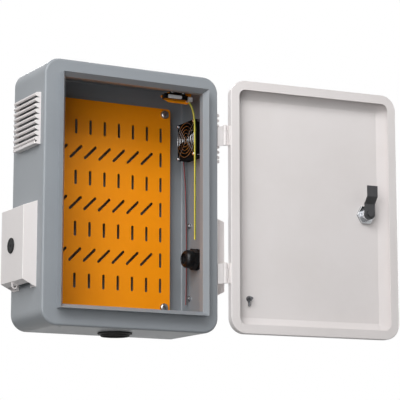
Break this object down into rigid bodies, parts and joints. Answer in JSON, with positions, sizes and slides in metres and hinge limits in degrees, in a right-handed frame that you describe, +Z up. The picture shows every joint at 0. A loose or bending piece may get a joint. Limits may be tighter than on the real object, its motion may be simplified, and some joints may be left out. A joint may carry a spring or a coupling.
{
  "type": "roadside utility cabinet",
  "caption": "Wall-mounted outdoor equipment cabinet with a dished door on side hinges, rain collar, slotted mounting plate, vent louvres, fan, side hoods, cable glands and a cam lock",
  "frame": {"origin": "centre of the rear mounting face, in the plane of the back sheet", "axes": "+Z up, the front frame and door face -Y, +Y into the wall, +X towards the hinge side"},
  "size_m": [0.8485, 0.226, 0.5525],
  "materials": {
    "slate_paint": "satin grey powder coat",
    "cream_paint": "satin off-white powder coat",
    "orange_paint": "satin orange powder coat",
    "zinc": "zinc-plated steel",
    "bright_chrome": "polished plating",
    "black_rubber": "matt black rubber",
    "black_nylon": "moulded black nylon",
    "black_plastic": "fine-grained black plastic",
    "black_gloss": "glossy black housing",
    "black_steel": "black passivated steel",
    "earth_insulation": "yellow and green insulation",
    "lead_insulation": "red and black twin insulation"
  },
  "bodies": {
    "cabinet": {"cabinet_shell": "slate_paint", "rain_collar": "slate_paint", "lock_keeper": "zinc", "mounting_plate": "orange_paint", "plate_studs": "zinc", "plate_screws": "bright_chrome", "left_louvre": "cream_paint", "right_louvre": "cream_paint", "left_hood": "cream_paint", "right_hood": "cream_paint", "hood_bolts": "zinc", "hood_nuts": "zinc", "left_hood_plug": "black_rubber", "right_hood_plug": "black_rubber", "left_gland_body": "black_nylon", "left_gland_cap": "black_nylon", "left_gland_seal": "black_rubber", "left_gland_locknut": "black_nylon", "right_gland_body": "black_nylon", "right_gland_cap": "black_nylon", "right_gland_seal": "black_rubber", "right_gland_locknut": "black_nylon", "floor_grommet": "black_rubber", "fan_frame": "black_plastic", "fan_guard": "bright_chrome", "fan_screws": "zinc", "fan_lead": "lead_insulation", "switch_bracket": "orange_paint", "switch_body": "black_gloss", "switch_screw": "bright_chrome", "earth_terminal": "zinc", "earth_wire": "earth_insulation", "upper_hinge_body_leaf": "cream_paint", "lower_hinge_body_leaf": "cream_paint", "upper_hinge_pin": "cream_paint", "lower_hinge_pin": "cream_paint", "hinge_screws": "zinc"},
    "door": {"door_panel": "cream_paint", "upper_hinge_door_leaf": "cream_paint", "lower_hinge_door_leaf": "cream_paint", "lock_housing": "bright_chrome", "lock_nut": "bright_chrome", "door_earth_stud": "zinc", "door_earth_nut": "bright_chrome", "door_earth_lug": "zinc"},
    "cam": {"lock_core": "bright_chrome", "lock_cam": "black_steel", "cam_screw": "black_steel"},
    "rotor": {"fan_rotor": "black_plastic"},
    "lever": {"switch_lever": "bright_chrome"}
  },
  "joints": [
    {"name": "door_hinge", "type": "hinge", "parent": "cabinet", "child": "door", "pos_m": [0.2088, -0.1733, 0], "axis": [0, 0, 1], "range_deg": [-175.2, 4.8]},
    {"name": "cam_turn", "type": "hinge", "parent": "door", "child": "cam", "pos_m": [0.54837, -0.21416, 0.001], "axis": [0.0837, 0.9965, 0], "range_deg": [0, 90]},
    {"name": "fan_spin", "type": "hinge", "parent": "cabinet", "child": "rotor", "pos_m": [0.186, -0.068, 0.153], "axis": [1, 0, 0], "continuous": true},
    {"name": "lever_press", "type": "hinge", "parent": "cabinet", "child": "lever", "pos_m": [0.1265, -0.12755, 0.23], "axis": [0, -1, 0], "range_deg": [0, 6], "stiffness_Nm_per_rad": 0.2, "springref_deg": -2.86}
  ]
}
